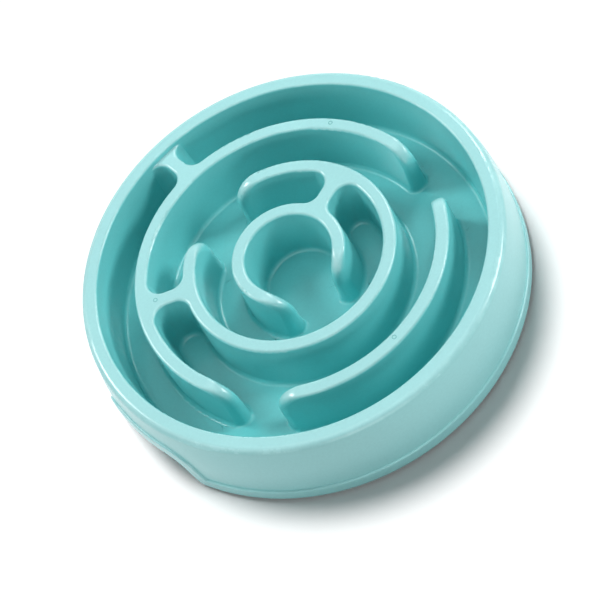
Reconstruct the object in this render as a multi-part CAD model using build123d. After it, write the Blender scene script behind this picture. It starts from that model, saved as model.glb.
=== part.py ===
from build123d import *
from math import cos, degrees, hypot, radians, sin, tan
import os

# Slow feeder bowl: a moulded bowl with a maze of three broken rings, on four soft push-in feet.
# Millimetres, +Z up, origin on the table under the middle of the bowl.

# Outside of the bowl: the skirt leans in from the table to the rim and bulges a little half way
bowl_height = 36.0
skirt_radius = 99.2
skirt_lean = 4.4
skirt_bulge = 0.8
rim_width = 7.05
rim_outer_round = 3.0
rim_inner_round = 1.2
wall = 2.2

# Lip along the lower edge, and the two finger notches that it follows
lip_height = 6.3
lip_projection = 0.9
lip_round = 0.7
crease_round = 0.8
notch_angle = 198.5
notch_height = 17.0
notch_width = 55.0
notch_side_angle = 22.4
notch_top_round = 12.0
notch_mouth_round = 3.5

# Maze: ridges are hollow from beneath, walls lean by the draft angle
floor_height = 7.0
ridge_drop = 2.5
ridge_core = 1.6
ridge_round = 1.4
floor_round = 2.0
draft_angle = 3.4
bridge_width = 6.6
pocket_round_share = 0.48

# Free ends of the ridges: a leaning nose with a large round at the top
nose_angle = 12.0
nose_round = 6.0
core_setback = 5.0

# Degrees counter-clockwise from +X: where a ring stops and starts again, and where it is bridged outwards
ring_gaps = {1: [(226.0, 312.0)], 2: [(91.0, 137.5)], 3: [(-12.5, 13.6), (216.8, 243.7)]}
bridge_angles = {1: 31.0, 2: 166.5, 3: 106.5}

# Feet
foot_names = ["front_left_foot", "front_right_foot", "back_right_foot", "back_left_foot"]
foot_from_notch = 45.0
foot_radius = 7.0
foot_thickness = 2.4
foot_stand = 1.2
foot_round = 0.7
stem_radius = 2.4
stem_clearance = 0.1

# How far joined shapes reach into or past each other's faces, how far cutters reach past what they cut,
# and what counts as the same place
tuck = 0.15
overrun = 2.0
touch = 0.001

# Heights above the table
lip_z = foot_stand
rim_z = lip_z + bowl_height
ridge_z = rim_z - ridge_drop
floor_z = lip_z + floor_height
under_z = floor_z - wall

# What the draft adds over the depth of the maze
slope = tan(radians(draft_angle))
depth = ridge_z - floor_z
spread = depth * slope
half_ridge = ridge_core / 2 + wall
half_foot = half_ridge + spread

# The rim, and rings spaced so that all channels are equally wide
rim_outer_radius = skirt_radius - skirt_lean
rim_inner_radius = rim_outer_radius - rim_width
wall_radius = rim_inner_radius - ridge_drop * slope
wall_foot_radius = wall_radius - spread
ring_pitch = (wall_radius + half_ridge) / (len(ring_gaps) + 1)


def ring_radius(ring):
    return ring * ring_pitch


def direction(angle):
    return Vector(cos(radians(angle)), sin(radians(angle)), 0)


def spin(*points):
    return revolve(Plane.XZ * make_face(Polyline(*points, points[0])), Axis.Z)


def skirt_curve(offset, top_z):
    middle_radius = (skirt_radius + rim_outer_radius) / 2 + skirt_bulge
    start = (skirt_radius + offset, lip_z)
    middle = (middle_radius + offset, (lip_z + rim_z) / 2)
    return ThreePointArc(start, middle, (rim_outer_radius + offset, top_z))


def round_corner(face, corner, radius):
    return fillet(face.vertices().sort_by_distance(corner)[0], radius)


def edges_at(shape, height):
    boxes = [(edge, edge.bounding_box()) for edge in shape.edges()]
    return [edge for edge, box in boxes if max(abs(box.min.Z - height), abs(box.max.Z - height)) < touch]


# Rim, skirt and inner wall: one folded section turned about the axis
def make_rim_shell():
    flange_radius = wall_foot_radius - 2 * floor_round
    cavity_top = rim_z - wall
    outside = skirt_curve(0, rim_z)
    inside = skirt_curve(-wall, cavity_top)
    top = [(rim_outer_radius, rim_z), (rim_inner_radius, rim_z), (wall_foot_radius, floor_z)]
    flange = [(flange_radius, floor_z), (flange_radius, under_z)]
    cavity = [
        (wall_foot_radius + wall - wall * slope, under_z),
        (rim_inner_radius + wall - wall * slope, cavity_top),
        (rim_outer_radius - wall, cavity_top),
    ]
    rest = Polyline(*top, *flange, *cavity)
    section = make_face([outside, inside, Line(outside @ 0, inside @ 0), *rest.edges()])
    section = round_corner(section, (rim_outer_radius, rim_z), rim_outer_round)
    section = round_corner(section, (rim_inner_radius, rim_z), rim_inner_round)
    section = round_corner(section, (wall_foot_radius, floor_z), floor_round)
    return revolve(Plane.XZ * section, Axis.Z)


# Channel between two walls, interrupted by one bridge, with rounded pocket ends
def make_channel(inner, outer, bridge_angle):
    half = bridge_width / 2
    rise = overrun * slope
    top = ridge_z + overrun
    channel = spin(
        (inner + spread, floor_z),
        (outer - spread, floor_z),
        (outer + rise, top),
        (inner - rise, top),
    )
    low = half + spread
    high = half - rise
    web_corners = [(-low, floor_z), (-high, top), (high, top), (low, floor_z)]
    web_face = make_face(Polyline(*web_corners, web_corners[0]))
    channel -= extrude(Plane.YZ.offset(inner - half) * web_face, amount=outer - inner + bridge_width)
    corners = []
    for edge in channel.edges():
        middle = edge.center()
        upright = edge.bounding_box().size.Z > depth
        if upright and middle.X > 0 and abs(middle.Y) < low:
            corners.append(edge)
    pocket_round = (outer - inner - 2 * spread) * pocket_round_share
    return Rot(0, 0, bridge_angle) * channel.fillet(pocket_round, corners)


# Cutter that ends a ridge in a leaning nose, at one side of a gap
def make_nose(ring, angle, turn, half_gap):
    radius = ring_radius(ring)
    reach = (radius + half_foot) * sin(radians(half_gap)) + overrun
    inward = half_foot + radius * (1 - cos(radians(half_gap))) + overrun
    outward = half_foot + overrun
    foot = depth * tan(radians(nose_angle))
    behind = 2 * nose_round
    points = [(-behind, 0), (-behind, overrun), (reach, overrun), (reach, -depth), (foot, -depth), (0, 0)]
    profile = round_corner(make_face(Polyline(*points, points[0])), (0, 0), nose_round)
    upward = Vector(0, 0, 1)
    radial = direction(angle)
    along = direction(angle + 90) * turn
    place = Plane(origin=radial * radius + upward * ridge_z, x_dir=along, z_dir=along.cross(upward))
    face = place * profile
    return extrude(face, amount=outward, dir=radial) + extrude(face, amount=inward, dir=-radial)


# Floor with its ridges, cut from a disc whose edge lies hidden in the inner wall of the rim
def make_maze():
    disc_top = wall_radius + wall - tuck
    disc_low = disc_top - (ridge_z - under_z) * slope
    maze = spin((0, under_z), (disc_low, under_z), (disc_top, ridge_z), (0, ridge_z))
    well_top = ring_radius(1) - half_ridge
    top = ridge_z + overrun
    maze -= spin((0, floor_z), (well_top - spread, floor_z), (well_top + overrun * slope, top), (0, top))
    for ring, angle in bridge_angles.items():
        next_wall = ring_radius(ring + 1) - half_ridge if ring + 1 in bridge_angles else wall_radius + tuck
        maze -= make_channel(ring_radius(ring) + half_ridge, next_wall, angle)
    for ring, gaps in ring_gaps.items():
        for stop, start in gaps:
            half_gap = (start - stop) / 2
            maze -= make_nose(ring, stop, 1, half_gap)
            maze -= make_nose(ring, start, -1, half_gap)
    ring_edges = [edge for edge in edges_at(maze, ridge_z) if edge.geom_type == GeomType.CIRCLE]
    maze = maze.fillet(ridge_round, [edge for edge in ring_edges if edge.radius < wall_radius])
    floor_edges = []
    for edge in edges_at(maze, floor_z):
        if edge.geom_type != GeomType.CIRCLE or edge.radius < wall_foot_radius:
            floor_edges.append(edge)
    return maze.fillet(floor_round, floor_edges)


# Hollow under the ridges, open below
def core_section():
    top_z = ridge_z - wall
    low_z = under_z - overrun
    top = ridge_core / 2 + wall * slope
    low = ridge_core / 2 + (ridge_z - low_z) * slope
    return [(-low, low_z), (low, low_z), (top, top_z), (-top, top_z)]


def make_cores():
    cores = []
    for ring, gaps in ring_gaps.items():
        radius = ring_radius(ring)
        setback = degrees(core_setback / radius)
        section = [(radius + across, height) for across, height in core_section()]
        face = Plane.XZ * make_face(Polyline(*section, section[0]))
        for index, (stop, start) in enumerate(gaps):
            next_stop = gaps[index + 1][0] if index + 1 < len(gaps) else gaps[0][0] + 360
            first = start + setback
            turn = next_stop - setback - first
            cores.append(Rot(0, 0, first) * revolve(face, Axis.Z, revolution_arc=turn))
    web_face = make_face(Polyline(*core_section(), core_section()[0]))
    for ring, angle in bridge_angles.items():
        web = extrude(Plane.YZ.offset(ring_radius(ring)) * web_face, amount=ring_pitch)
        cores.append(Rot(0, 0, angle) * web)
    return cores


# Outline of a finger notch and all below the lip edge, widened by an even margin, with the lip edge at zero
def notch_outline(margin, mouth_round):
    side = skirt_radius + lip_projection + overrun
    lean = tan(radians(notch_side_angle))
    low = notch_width / 2 + margin * hypot(1, lean) - margin * lean
    high = low - notch_height * lean
    top = notch_height + margin
    right = [(side, -overrun), (side, margin), (low, margin), (high, top)]
    left = [(-x, y) for x, y in reversed(right)]
    face = make_face(Polyline(*right, *left, right[0]))
    for x in (-1, 1):
        face = round_corner(face, (x * high, top), notch_top_round + margin)
        face = round_corner(face, (x * low, margin), mouth_round)
    return face


def notch_plane(turn):
    angle = notch_angle + turn
    return Plane(origin=(0, 0, lip_z), x_dir=direction(angle + 90), z_dir=direction(angle))


def make_notch(turn, margin):
    start = rim_inner_radius + wall
    amount = skirt_radius + lip_projection + overrun - start
    return extrude(notch_plane(turn).offset(start) * notch_outline(margin, notch_mouth_round), amount=amount)


# Half of the lip, on the side of the first notch, as a band that runs through the skirt
def make_half_lip():
    outside = skirt_curve(lip_projection, rim_z)
    inside = skirt_curve(-wall - tuck, rim_z)
    section = make_face([outside, inside, Line(outside @ 0, inside @ 0), Line(outside @ 1, inside @ 1)])
    band = notch_outline(lip_height, crease_round)
    reach = skirt_radius + lip_projection + overrun
    layer = revolve(Plane.XZ * section, Axis.Z)
    half_lip = layer & extrude(notch_plane(0) * band, amount=reach)
    half_lip -= make_notch(0, 0)
    outer_face = half_lip.faces().sort_by(SortBy.AREA)[-1]
    rims = [edge for edge in outer_face.edges() if (edge @ 0.5).dot(direction(notch_angle)) > touch]
    return half_lip.fillet(lip_round, rims)


# Feet: a disc under a boss of the bowl, held by a stem in the boss
def foot_places():
    radius = (ring_radius(max(ring_gaps)) + half_foot + wall_foot_radius) / 2
    step = 360 / len(foot_names)
    angles = [notch_angle + foot_from_notch + step * index for index in range(len(foot_names))]
    return [direction(angle) * radius for angle in angles]


def make_post(radius, low_z, high_z):
    return Pos(0, 0, low_z) * extrude(Circle(radius), amount=high_z - low_z)


def make_foot():
    pad = make_post(foot_radius, 0, foot_thickness)
    pad = pad.fillet(foot_round, edges_at(pad, 0))
    return pad + make_post(stem_radius, 0, under_z)


def make_bowl():
    half_lip = make_half_lip()
    skirt = make_rim_shell() - [make_notch(0, tuck), make_notch(180, tuck)]
    bowl = skirt + [half_lip, Rot(0, 0, 180) * half_lip]
    bowl = bowl + make_maze() - make_cores()
    boss = make_post(foot_radius, foot_thickness, under_z + wall / 2)
    socket = make_post(stem_radius + stem_clearance, 0, under_z + stem_clearance)
    bowl += [Pos(place) * boss for place in foot_places()]
    return bowl - [Pos(place) * socket for place in foot_places()]


os.makedirs("parts", exist_ok=True)
export_step(make_bowl(), "parts/bowl.step")
for name, place in zip(foot_names, foot_places()):
    export_step(Pos(place) * make_foot(), "parts/" + name + ".step")
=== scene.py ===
import math

import bmesh
import bpy
import numpy as np
from mathutils import Matrix, Vector


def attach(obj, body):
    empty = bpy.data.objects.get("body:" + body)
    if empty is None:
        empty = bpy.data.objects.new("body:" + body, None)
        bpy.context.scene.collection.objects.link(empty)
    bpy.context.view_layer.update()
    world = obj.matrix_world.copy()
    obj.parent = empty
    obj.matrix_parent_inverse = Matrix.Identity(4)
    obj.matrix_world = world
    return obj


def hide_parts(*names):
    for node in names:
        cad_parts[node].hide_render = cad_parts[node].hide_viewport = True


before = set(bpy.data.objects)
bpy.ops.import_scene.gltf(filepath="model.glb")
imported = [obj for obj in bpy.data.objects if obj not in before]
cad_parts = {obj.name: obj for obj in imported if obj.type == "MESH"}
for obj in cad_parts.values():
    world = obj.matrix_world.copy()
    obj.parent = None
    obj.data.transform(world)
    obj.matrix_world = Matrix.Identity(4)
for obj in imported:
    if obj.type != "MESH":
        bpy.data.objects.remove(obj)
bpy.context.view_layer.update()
scene = bpy.context.scene
scene.view_settings.view_transform = "Standard"
print("frame loaded:", ", ".join(sorted(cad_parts)))


# small helpers for node trees, every material below is wired with these
def clearedTree(owner):
    owner.use_nodes = True
    owner.node_tree.nodes.clear()
    return owner.node_tree


def addNode(tree, kind, place, **settings):
    node = tree.nodes.new(kind)
    node.location = place
    for name, value in settings.items():
        setattr(node, name, value)
    return node


def addMath(tree, place, operation, *values, clamp=False):
    node = addNode(tree, "ShaderNodeMath", place, operation=operation, use_clamp=clamp)
    for socket, value in zip(node.inputs, values):
        if isinstance(value, (int, float)):
            socket.default_value = value
        else:
            tree.links.new(value, socket)
    return node.outputs[0]


# grain holds scale, detail and roughness
def addNoise(tree, place, vector, grain):
    node = addNode(tree, "ShaderNodeTexNoise", place)
    tree.links.new(vector, node.inputs["Vector"])
    for name, value in zip(("Scale", "Detail", "Roughness"), grain):
        node.inputs[name].default_value = value
    return node.outputs["Fac"]


# smooth mask: 0 at low, 1 at high
def addStep(tree, place, value, low, high):
    node = addNode(tree, "ShaderNodeMapRange", place, interpolation_type="SMOOTHSTEP")
    tree.links.new(value, node.inputs["Value"])
    node.inputs["From Min"].default_value = low
    node.inputs["From Max"].default_value = high
    return node.outputs["Result"]


# straight remap of a noise into a working range
def addRange(tree, place, value, span, toSpan):
    node = addNode(tree, "ShaderNodeMapRange", place)
    tree.links.new(value, node.inputs["Value"])
    for name, number in zip(("From Min", "From Max", "To Min", "To Max"), (*span, *toSpan)):
        node.inputs[name].default_value = number
    return node.outputs["Result"]


def addMix(tree, place, factor, first, second):
    node = addNode(tree, "ShaderNodeMix", place, data_type="RGBA")
    tree.links.new(factor, node.inputs["Factor"])
    for socket, value in ((node.inputs["A"], first), (node.inputs["B"], second)):
        if isinstance(value, (tuple, list)):
            socket.default_value = (*value, 1)
        else:
            tree.links.new(value, socket)
    return node.outputs["Result"]


# true for rays that should meet a white studio: the camera's, mirrored and clear ones
def addShownRay(tree, place):
    path = addNode(tree, "ShaderNodeLightPath", place)
    seen = addMath(tree, (place[0] + 180, place[1]), "MAXIMUM",
                   path.outputs["Is Camera Ray"], path.outputs["Is Glossy Ray"])
    return addMath(tree, (place[0] + 360, place[1]), "MAXIMUM",
                   seen, path.outputs["Is Transmission Ray"])


# bump, skin and output, the last nodes of each finish; relief is in metres
def addSkin(tree, settings, tint, gloss, relief):
    bump = addNode(tree, "ShaderNodeBump", (-300, -900))
    bump.inputs["Strength"].default_value = settings["bumpStrength"]
    bump.inputs["Distance"].default_value = 1.0
    tree.links.new(relief, bump.inputs["Height"])
    skin = addNode(tree, "ShaderNodeBsdfPrincipled", (0, 0))
    skin.inputs["IOR"].default_value = settings["ior"]
    tree.links.new(tint, skin.inputs["Base Color"])
    tree.links.new(gloss, skin.inputs["Roughness"])
    tree.links.new(bump.outputs["Normal"], skin.inputs["Normal"])
    out = addNode(tree, "ShaderNodeOutputMaterial", (300, 0))
    tree.links.new(skin.outputs[0], out.inputs["Surface"])


def dressNode(node, material):
    for slot in node.material_slots:
        slot.material = material


# camera, tilted down at the bowl and rolled the way the picture is
cameraSet = {
    "place": (-0.005844, -0.396648, 0.568665),
    "tilt": 34.85,
    "roll": -31.18,
    "lens": 92.76,
    "sensor": 36,
    "nearest": 0.01,
}


def makeCamera(settings):
    data = bpy.data.cameras.new("camera")
    data.lens = settings["lens"]
    data.sensor_width = settings["sensor"]
    data.clip_start = settings["nearest"]
    camera = bpy.data.objects.new("camera", data)
    scene.collection.objects.link(camera)
    turn = Matrix.Rotation(math.radians(settings["tilt"]), 4, "X")
    roll = Matrix.Rotation(math.radians(settings["roll"]), 4, "Z")
    camera.matrix_world = Matrix.Translation(settings["place"]) @ turn @ roll
    scene.camera = camera


makeCamera(cameraSet)
print("camera set")


# pale floor, lifted a little for the camera but still dark where the bowl shades it
floorSet = {
    "halfSize": 4.0,
    "colour": (0.90, 0.90, 0.90),
    "speck": (60, 2, 0.5),
    "speckShade": 0.015,
    "lift": 0.12,
}


def makeFloor(settings):
    half = settings["halfSize"]
    mesh = bpy.data.meshes.new("floor")
    corners = [(-half, -half, 0), (half, -half, 0), (half, half, 0), (-half, half, 0)]
    mesh.from_pydata(corners, [], [(0, 1, 2, 3)])
    floor = bpy.data.objects.new("floor", mesh)
    scene.collection.objects.link(floor)
    material = bpy.data.materials.new("floorPaper")
    tree = clearedTree(material)
    where = addNode(tree, "ShaderNodeTexCoord", (-900, 0)).outputs["Object"]
    speck = addNoise(tree, (-700, 0), where, settings["speck"])
    shade = tuple(channel - settings["speckShade"] for channel in settings["colour"])
    colour = addMix(tree, (-480, 0), speck, shade, settings["colour"])
    paper = addNode(tree, "ShaderNodeBsdfDiffuse", (-260, 0))
    tree.links.new(colour, paper.inputs["Color"])
    glow = addNode(tree, "ShaderNodeEmission", (-260, -180))
    shown = addShownRay(tree, (-1100, -260))
    lift = addMath(tree, (-480, -260), "MULTIPLY", shown, settings["lift"])
    tree.links.new(lift, glow.inputs["Strength"])
    both = addNode(tree, "ShaderNodeAddShader", (0, 0))
    tree.links.new(paper.outputs[0], both.inputs[0])
    tree.links.new(glow.outputs[0], both.inputs[1])
    out = addNode(tree, "ShaderNodeOutputMaterial", (200, 0))
    tree.links.new(both.outputs[0], out.inputs["Surface"])
    mesh.materials.append(material)
    return floor


floor = makeFloor(floorSet)


# soft studio light: boxes around and above for the bowl, a wide sun for the floor, a dim room
lightSet = {
    "room": 0.03,
    "roomColour": (1.0, 1.0, 1.0),
    "shownColour": (1.0, 1.0, 1.0),
    "boxes": {
        "backLeftBox": {"aim": (-0.55, 0.50, 0.65), "away": 1.2, "size": (0.34, 0.34), "power": 7.6},
        "backRightBox": {"aim": (0.55, 0.50, 0.65), "away": 1.2, "size": (0.30, 0.30), "power": 4.9},
        "topBox": {"aim": (0.0, 0.05, 1.0), "away": 1.1, "size": (0.8, 0.8), "power": 3.1},
        "rightBox": {"aim": (0.84, -0.18, 0.50), "away": 1.2, "size": (0.4, 0.3), "power": 8.2},
        "leftBox": {"aim": (-0.75, -0.10, 0.62), "away": 1.2, "size": (0.8, 0.6), "power": 2.4},
        "frontBox": {"aim": (-0.10, -0.95, 0.20), "away": 1.2, "size": (0.8, 0.4), "power": 3.8},
    },
    "floorSun": {"aim": (-0.10, 0.48, 0.87), "angle": 24, "strength": 3.8},
}


def makeRoom(settings):
    world = bpy.data.worlds.new("room")
    scene.world = world
    tree = clearedTree(world)
    room = addNode(tree, "ShaderNodeBackground", (0, 0))
    room.inputs["Color"].default_value = (*settings["roomColour"], 1)
    room.inputs["Strength"].default_value = settings["room"]
    white = addNode(tree, "ShaderNodeBackground", (0, -160))
    white.inputs["Color"].default_value = (*settings["shownColour"], 1)
    pick = addNode(tree, "ShaderNodeMixShader", (220, 0))
    tree.links.new(addShownRay(tree, (-600, 200)), pick.inputs["Fac"])
    tree.links.new(room.outputs[0], pick.inputs[1])
    tree.links.new(white.outputs[0], pick.inputs[2])
    out = addNode(tree, "ShaderNodeOutputWorld", (420, 0))
    tree.links.new(pick.outputs[0], out.inputs["Surface"])


def placeLamp(name, data, aim):
    lamp = bpy.data.objects.new(name, data)
    scene.collection.objects.link(lamp)
    lamp.rotation_mode = "QUATERNION"
    lamp.rotation_quaternion = aim.to_track_quat("Z", "Y")
    return lamp


def makeBox(name, settings):
    data = bpy.data.lights.new(name, "AREA")
    data.shape = "RECTANGLE"
    data.size, data.size_y = settings["size"]
    data.energy = settings["power"]
    aim = Vector(settings["aim"]).normalized()
    lamp = placeLamp(name, data, aim)
    lamp.location = aim * settings["away"]
    return lamp


# the floor has a lamp of its own, so that it is even and its shadow falls one way
def makeFloorSun(settings):
    data = bpy.data.lights.new("floorSun", "SUN")
    data.energy = settings["strength"]
    data.angle = math.radians(settings["angle"])
    return placeLamp("floorSun", data, Vector(settings["aim"]))


def linkLamp(lamp, group, state):
    lamp.light_linking.receiver_collection = group
    group.collection_objects[0].light_linking.link_state = state


def makeGroup(name, thing):
    group = bpy.data.collections.new(name)
    group.objects.link(thing)
    return group


makeRoom(lightSet)
allButFloor = makeGroup("allButFloor", floor)
floorAlone = makeGroup("floorAlone", floor)
for boxName, boxSettings in lightSet["boxes"].items():
    linkLamp(makeBox(boxName, boxSettings), allButFloor, "EXCLUDE")
linkLamp(makeFloorSun(lightSet["floorSun"]), floorAlone, "INCLUDE")
print("stage and light set")


# moulded polypropylene of the bowl, semi gloss and coloured through
plasticSet = {
    # painted light: the first three colours are one plastic, darker with painted shade in the troughs, paler
    # with a painted sheen on the outside and the ridge tops
    "inside": (0.150, 0.585, 0.595),
    "outside": (0.262, 0.575, 0.582),
    "top": (0.312, 0.618, 0.628),
    "worn": (0.400, 0.720, 0.725),
    "topFacing": (0.30, 0.95),         # masks run from the first number to the second
    "topHeight": (0.018, 0.033),
    # painted light: the upper part of the trough walls leans a little towards the ridge-top tint
    "wallLightHeight": (0.021, 0.0347),
    "wallLightShare": 0.10,
    "outerReach": (0.0905, 0.0945),
    "cloud": (26, 4, 0.55),            # noises are scale, detail, roughness
    "speck": (900, 2, 0.5),
    "cloudStrength": 0.10,
    "edgeLeaning": (0.20, 0.55),
    "edgeFlat": (0.90, 0.995),
    "wornHeight": (0.026, 0.030),
    "patch": (70, 5, 0.65),
    "patchEdge": (0.40, 0.68),
    "wornShare": 0.55,
    "roughness": (0.16, 0.30),
    "wornRoughness": 0.08,
    "ripple": (90, 2, 0.5),
    "rippleDepth": 0.00006,
    "spark": (1400, 3, 0.6),
    "sparkDepth": 0.00002,
    "bumpStrength": 0.35,
    "ior": 1.49,
}


def makePlastic(name, settings):
    material = bpy.data.materials.new(name)
    tree = clearedTree(material)
    link = tree.links.new
    where = addNode(tree, "ShaderNodeTexCoord", (-1700, 200)).outputs["Object"]
    shape = addNode(tree, "ShaderNodeNewGeometry", (-1700, -300))
    facing = addNode(tree, "ShaderNodeSeparateXYZ", (-1500, -300))
    link(shape.outputs["Normal"], facing.inputs[0])
    spot = addNode(tree, "ShaderNodeSeparateXYZ", (-1500, -480))
    link(shape.outputs["Position"], spot.inputs[0])
    upness, height = facing.outputs["Z"], spot.outputs["Z"]
    across, along = spot.outputs["X"], spot.outputs["Y"]

    # painted light: the bowl is one plastic drawn in three tints, darker in the troughs for painted shade,
    # paler on the outside and the flat ridge tops for a painted sheen
    flatTop = addStep(tree, (-1280, -160), upness, *settings["topFacing"])
    nearTop = addStep(tree, (-1280, -40), height, *settings["topHeight"])
    top = addMath(tree, (-1080, -100), "MULTIPLY", flatTop, nearTop)
    # painted light: the trough walls turn a little paler towards their tops, where light from above reaches
    wall = addStep(tree, (-1280, 20), height, *settings["wallLightHeight"])
    wall = addMath(tree, (-1080, 20), "MULTIPLY", wall, settings["wallLightShare"])
    acrossSquare = addMath(tree, (-1500, 60), "MULTIPLY", across, across)
    alongSquare = addMath(tree, (-1500, 180), "MULTIPLY", along, along)
    reach = addMath(tree, (-1320, 100), "ADD", acrossSquare, alongSquare)
    reach = addMath(tree, (-1160, 100), "SQRT", reach)
    outer = addStep(tree, (-1000, 100), reach, *settings["outerReach"])
    tint = addMix(tree, (-960, 240), wall, settings["inside"], settings["top"])
    tint = addMix(tree, (-820, 100), outer, tint, settings["outside"])
    tint = addMix(tree, (-640, 60), top, tint, settings["top"])

    # cloudy pigment: wide clouds and a fine speckle, added up they run from 0 to 2
    cloud = addNoise(tree, (-1400, 420), where, settings["cloud"])
    speck = addNoise(tree, (-1400, 600), where, settings["speck"])
    mottle = addMath(tree, (-1200, 500), "ADD", cloud, speck)
    strength = settings["cloudStrength"]
    mottle = addRange(tree, (-1020, 500), mottle, (0, 2), (1 - strength, 1 + strength))
    shaded = addNode(tree, "ShaderNodeVectorMath", (-560, 420), operation="MULTIPLY")
    link(tint, shaded.inputs[0])
    link(mottle, shaded.inputs[1])

    # rubbed edges: only rounded-over corners near the top, broken up by noise
    leaning = addStep(tree, (-1280, -300), upness, *settings["edgeLeaning"])
    flat = addStep(tree, (-1280, -420), upness, *settings["edgeFlat"])
    edge = addMath(tree, (-1080, -340), "SUBTRACT", leaning, flat, clamp=True)
    high = addStep(tree, (-1280, -560), height, *settings["wornHeight"])
    edge = addMath(tree, (-900, -380), "MULTIPLY", edge, high)
    patch = addNoise(tree, (-1280, -720), where, settings["patch"])
    patchMask = addStep(tree, (-1080, -720), patch, *settings["patchEdge"])
    worn = addMath(tree, (-720, -420), "MULTIPLY", edge, patchMask)
    worn = addMath(tree, (-560, -420), "MULTIPLY", worn, settings["wornShare"])
    tint = addMix(tree, (-380, 320), worn, shaded.outputs[0], settings["worn"])

    # gloss wanders a little, and rubbed edges turn duller
    gloss = addRange(tree, (-720, -120), cloud, (0, 1), settings["roughness"])
    dulled = addMath(tree, (-560, -240), "MULTIPLY", worn, settings["wornRoughness"])
    gloss = addMath(tree, (-380, -120), "ADD", gloss, dulled)

    # faint ripple of the mould and a very fine spark texture
    ripple = addNoise(tree, (-900, -900), where, settings["ripple"])
    spark = addNoise(tree, (-900, -1080), where, settings["spark"])
    rippleHeight = addMath(tree, (-680, -900), "MULTIPLY", ripple, settings["rippleDepth"])
    sparkHeight = addMath(tree, (-680, -1080), "MULTIPLY", spark, settings["sparkDepth"])
    relief = addMath(tree, (-500, -960), "ADD", rippleHeight, sparkHeight)
    addSkin(tree, settings, tint, gloss, relief)
    return material


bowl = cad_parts["bowl"]
dressNode(bowl, makePlastic("bowlPlastic", plasticSet))


# fuller ridge ends: the solid's skin, slid along its rings until each end has a wide round and soft flanks
noseSet = {
    "pitch": 0.02265,
    "ridgeTop": 0.0347,
    "floorTop": 0.0082,
    "halfTop": 0.0030,
    "draft": 3.4,
    "solid": {"round": 0.006, "lean": 12.0, "corner": 0.0},
    "drawn": {"round": 0.012, "lean": 1.2, "corner": 0.0066},
    "flankPower": 2.4,
    "inward": (-0.016, -0.002),        # the slide fades in, and out again, along the ring
    "outward": (0.0025, 0.0095),
    "beside": (0.0022, 0.0070),        # and off the ring, and under the floor
    "under": (0.0061, 0.0080),
    "fineAlong": (-0.008, 0.0070),     # where triangles are cut, and how long they may stay
    "fineBeside": 0.003,
    "fineEdge": 0.0012,
    "finePasses": 8,
    "fineSamples": (0.0, 0.25, 0.5, 0.75, 1.0),
    "step": 0.000002,
    # ring, angle, way into the gap, how far the end is moved along, how round its flanks are
    "ends": [
        (1, 226.0, 1, 0.0, 0.95), (1, 312.0, -1, -0.0018, 0.80),
        (2, 91.0, 1, -0.0004, 0.80), (2, 137.5, -1, -0.0010, 0.80),
        (3, -12.5, 1, -0.0030, 0.30), (3, 13.6, -1, -0.0024, 0.40),
        (3, 216.8, 1, -0.0004, 0.75), (3, 243.7, -1, -0.0002, 0.75),
    ],
}


def smoothRamp(value, low, high):
    share = np.clip((value - low) / (high - low), 0, 1)
    return share * share * (3 - 2 * share)


# where the end of a ridge stands at a depth under its top: a round, then a leaning line
def endLine(depth, shape, shift=0.0):
    lean = math.radians(shape["lean"])
    size = shape["round"]
    corner = shape["corner"] + shift
    middle = corner - size * (1 - math.sin(lean)) / math.cos(lean)
    rounded = middle + np.sqrt(np.maximum(size ** 2 - (size - depth) ** 2, 0))
    straight = corner + depth * math.tan(lean)
    return np.where(depth < size * (1 - math.sin(lean)), rounded, straight)


# points beside one ridge end: how far past the solid's end, how far off the ring, depth and half width there
def besideEnd(points, settings, end):
    ring, angle, way = end[:3]
    radius = ring * settings["pitch"]
    off = np.hypot(points[:, 0], points[:, 1]) - radius
    turned = np.arctan2(points[:, 1], points[:, 0]) - math.radians(angle)
    turned = (turned + math.pi) % (2 * math.pi) - math.pi
    deepest = settings["ridgeTop"] - settings["floorTop"]
    depth = np.clip(settings["ridgeTop"] - points[:, 2], 0, deepest)
    half = settings["halfTop"] + depth * math.tan(math.radians(settings["draft"]))
    past = way * turned * radius - endLine(depth, settings["solid"])
    return past, off, depth, half


def slidePoints(points, settings):
    slid = np.zeros(len(points))
    fade = smoothRamp(points[:, 2], *settings["under"])
    for end in settings["ends"]:
        ring, angle, way, shift, roundness = end
        past, off, depth, half = besideEnd(points, settings, end)
        flank = roundness * half * np.minimum(np.abs(off) / half, 1) ** settings["flankPower"]
        push = endLine(depth, settings["drawn"], shift) - endLine(depth, settings["solid"]) - flank
        push *= smoothRamp(past, *settings["inward"]) * (1 - smoothRamp(past, *settings["outward"]))
        push *= (1 - smoothRamp(np.abs(off) - half, *settings["beside"])) * fade
        slid += way * push / (ring * settings["pitch"])
    cosine, sine = np.cos(slid), np.sin(slid)
    x, y = points[:, 0], points[:, 1]
    return np.stack((x * cosine - y * sine, x * sine + y * cosine, points[:, 2]), axis=1)


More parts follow.
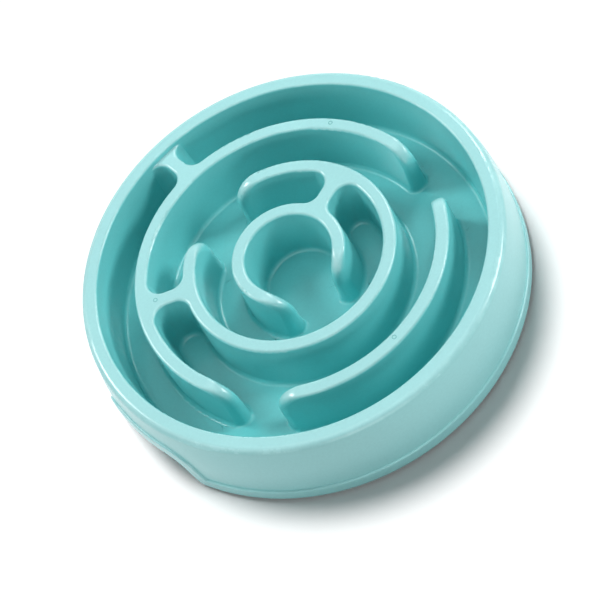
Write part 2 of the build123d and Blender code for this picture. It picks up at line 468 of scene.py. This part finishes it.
# cut the long triangles near the ends, so that the skin can bend there
def refineEnds(shaper, settings):
    low, high = settings["fineAlong"]
    for cut in range(settings["finePasses"]):
        shaper.verts.index_update()
        points = np.array([vert.co[:] for vert in shaper.verts])
        edges = list(shaper.edges)
        pairs = np.array([(edge.verts[0].index, edge.verts[1].index) for edge in edges])
        first, second = points[pairs[:, 0]], points[pairs[:, 1]]
        near = np.zeros(len(edges), bool)
        for share in settings["fineSamples"]:
            sample = first + (second - first) * share
            for end in settings["ends"]:
                past, off, depth, half = besideEnd(sample, settings, end)
                near |= (past > low) & (past < high) & (np.abs(off) < half + settings["fineBeside"])
        near &= np.linalg.norm(second - first, axis=1) > settings["fineEdge"]
        near &= np.maximum(first[:, 2], second[:, 2]) > settings["under"][1]
        if not near.any():
            break
        picked = [edges[place] for place in np.nonzero(near)[0]]
        bmesh.ops.subdivide_edges(shaper, edges=picked, cuts=1, use_grid_fill=True)
        bmesh.ops.triangulate(shaper, faces=[face for face in shaper.faces if len(face.verts) > 3])


def readVectors(source, name):
    values = np.empty(len(source) * 3, np.float32)
    source.foreach_get(name, values)
    return values.reshape(-1, 3).astype(float)


# normals follow the slide: the local change of shape, turned over
def slideNormals(points, corners, normals, settings):
    changes = np.empty((len(points), 3, 3))
    for axis in range(3):
        step = np.zeros(3)
        step[axis] = settings["step"]
        ahead, behind = slidePoints(points + step, settings), slidePoints(points - step, settings)
        changes[:, :, axis] = (ahead - behind) / (2 * settings["step"])
    turned = np.linalg.inv(changes).transpose(0, 2, 1)
    normals = np.einsum("nij,nj->ni", turned[corners], normals)
    return normals / np.linalg.norm(normals, axis=1)[:, None]


def makeBowl(name, settings):
    mesh = bowl.data.copy()
    mesh.name = name
    normals = readVectors(mesh.corner_normals, "vector")
    kept = mesh.attributes.new("solidNormal", "FLOAT_VECTOR", "CORNER")  # carried through the cuts
    kept.data.foreach_set("vector", normals.astype(np.float32).ravel())
    shaper = bmesh.new()
    shaper.from_mesh(mesh)
    refineEnds(shaper, settings)
    shaper.to_mesh(mesh)
    shaper.free()

    points = readVectors(mesh.vertices, "co")
    normals = readVectors(mesh.attributes["solidNormal"].data, "vector")
    mesh.attributes.remove(mesh.attributes["solidNormal"])
    corners = np.empty(len(mesh.loops), np.int32)
    mesh.loops.foreach_get("vertex_index", corners)
    normals = slideNormals(points, corners, normals, settings)
    mesh.vertices.foreach_set("co", slidePoints(points, settings).astype(np.float32).ravel())
    mesh.update()
    mesh.normals_split_custom_set(normals.tolist())
    piece = bpy.data.objects.new(name, mesh)
    scene.collection.objects.link(piece)
    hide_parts("bowl")
    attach(piece, "root")
    return piece


mouldedBowl = makeBowl("moulded_bowl", noseSet)
print("bowl finished, faces:", len(mouldedBowl.data.polygons))


# soft rubber of the feet
rubberSet = {
    "feet": ("front_left_foot", "front_right_foot", "back_right_foot", "back_left_foot"),
    "colour": (0.030, 0.085, 0.090),
    "dusty": (0.085, 0.150, 0.152),
    "dust": (240, 5, 0.6),
    "dustEdge": (0.42, 0.72),
    "dustShare": 0.6,
    "tread": (0.0006, 0.0),
    "glossFrom": (0.3, 0.7),
    "roughness": (0.62, 0.82),
    "grain": (2600, 3, 0.6),
    "grainDepth": 0.00004,
    "bumpStrength": 0.6,
    "ior": 1.5,
}


def makeRubber(name, settings):
    material = bpy.data.materials.new(name)
    tree = clearedTree(material)
    where = addNode(tree, "ShaderNodeTexCoord", (-1300, 200)).outputs["Object"]
    shape = addNode(tree, "ShaderNodeNewGeometry", (-1300, -200))
    spot = addNode(tree, "ShaderNodeSeparateXYZ", (-1100, -200))
    tree.links.new(shape.outputs["Position"], spot.inputs[0])

    # dust rubs in where the pad meets the floor
    dust = addNoise(tree, (-1080, 200), where, settings["dust"])
    dustMask = addStep(tree, (-880, 200), dust, *settings["dustEdge"])
    low = addStep(tree, (-880, -200), spot.outputs["Z"], *settings["tread"])
    rubbed = addMath(tree, (-680, -120), "MAXIMUM", dustMask, low)
    rubbed = addMath(tree, (-520, -120), "MULTIPLY", rubbed, settings["dustShare"])
    tint = addMix(tree, (-340, 200), rubbed, settings["colour"], settings["dusty"])
    gloss = addRange(tree, (-340, -60), dust, settings["glossFrom"], settings["roughness"])

    grain = addNoise(tree, (-880, -420), where, settings["grain"])
    grainHeight = addMath(tree, (-640, -420), "MULTIPLY", grain, settings["grainDepth"])
    addSkin(tree, settings, tint, gloss, grainHeight)
    return material


footRubber = makeRubber("footRubber", rubberSet)
for footName in rubberSet["feet"]:
    dressNode(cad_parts[footName], footRubber)
print("feet finished")


# ejector marks: three tiny rings that the mould leaves on the ridge tops, coloured darker than the plastic
# around them
markPlastic = makePlastic("markPlastic", {
    **plasticSet,
    "inside": (0.125, 0.400, 0.410),
    "top": (0.150, 0.430, 0.440),
    "worn": (0.200, 0.480, 0.490),
})
markSet = {
    "top": 0.0347,
    "places": {"back_mark": (0.0682, 46.5), "left_mark": (0.0616, 166.0), "front_mark": (0.0674, 286.5)},
    "radius": 0.00085,
    "width": 0.00024,
    "height": 0.00020,
    "sunk": 0.00008,
    "turns": 36,
    "sides": 10,
}


# a flattened bead bent round into a ring, its lower half under the ridge's skin
def makeMark(name, settings):
    shaper = bmesh.new()
    turns, sides = settings["turns"], settings["sides"]
    rows = []
    for turn in range(turns):
        around = 2 * math.pi * turn / turns
        row = []
        for side in range(sides):
            about = 2 * math.pi * side / sides
            out = settings["radius"] + settings["width"] * math.cos(about)
            up = settings["height"] * math.sin(about)
            row.append(shaper.verts.new((out * math.cos(around), out * math.sin(around), up)))
        rows.append(row)
    for turn in range(turns):
        here, there = rows[turn], rows[(turn + 1) % turns]
        for side in range(sides):
            after = (side + 1) % sides
            face = shaper.faces.new((here[side], there[side], there[after], here[after]))
            face.smooth = True
    bmesh.ops.recalc_face_normals(shaper, faces=shaper.faces)
    mesh = bpy.data.meshes.new(name)
    shaper.to_mesh(mesh)
    shaper.free()
    mesh.materials.append(markPlastic)
    mark = bpy.data.objects.new(name, mesh)
    scene.collection.objects.link(mark)
    reach, angle = settings["places"][name]
    turned = math.radians(angle)
    rise = settings["top"] - settings["sunk"]
    mark.location = (reach * math.cos(turned), reach * math.sin(turned), rise)
    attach(mark, "root")


for markName in markSet["places"]:
    makeMark(markName, markSet)
print("ejector marks finished")
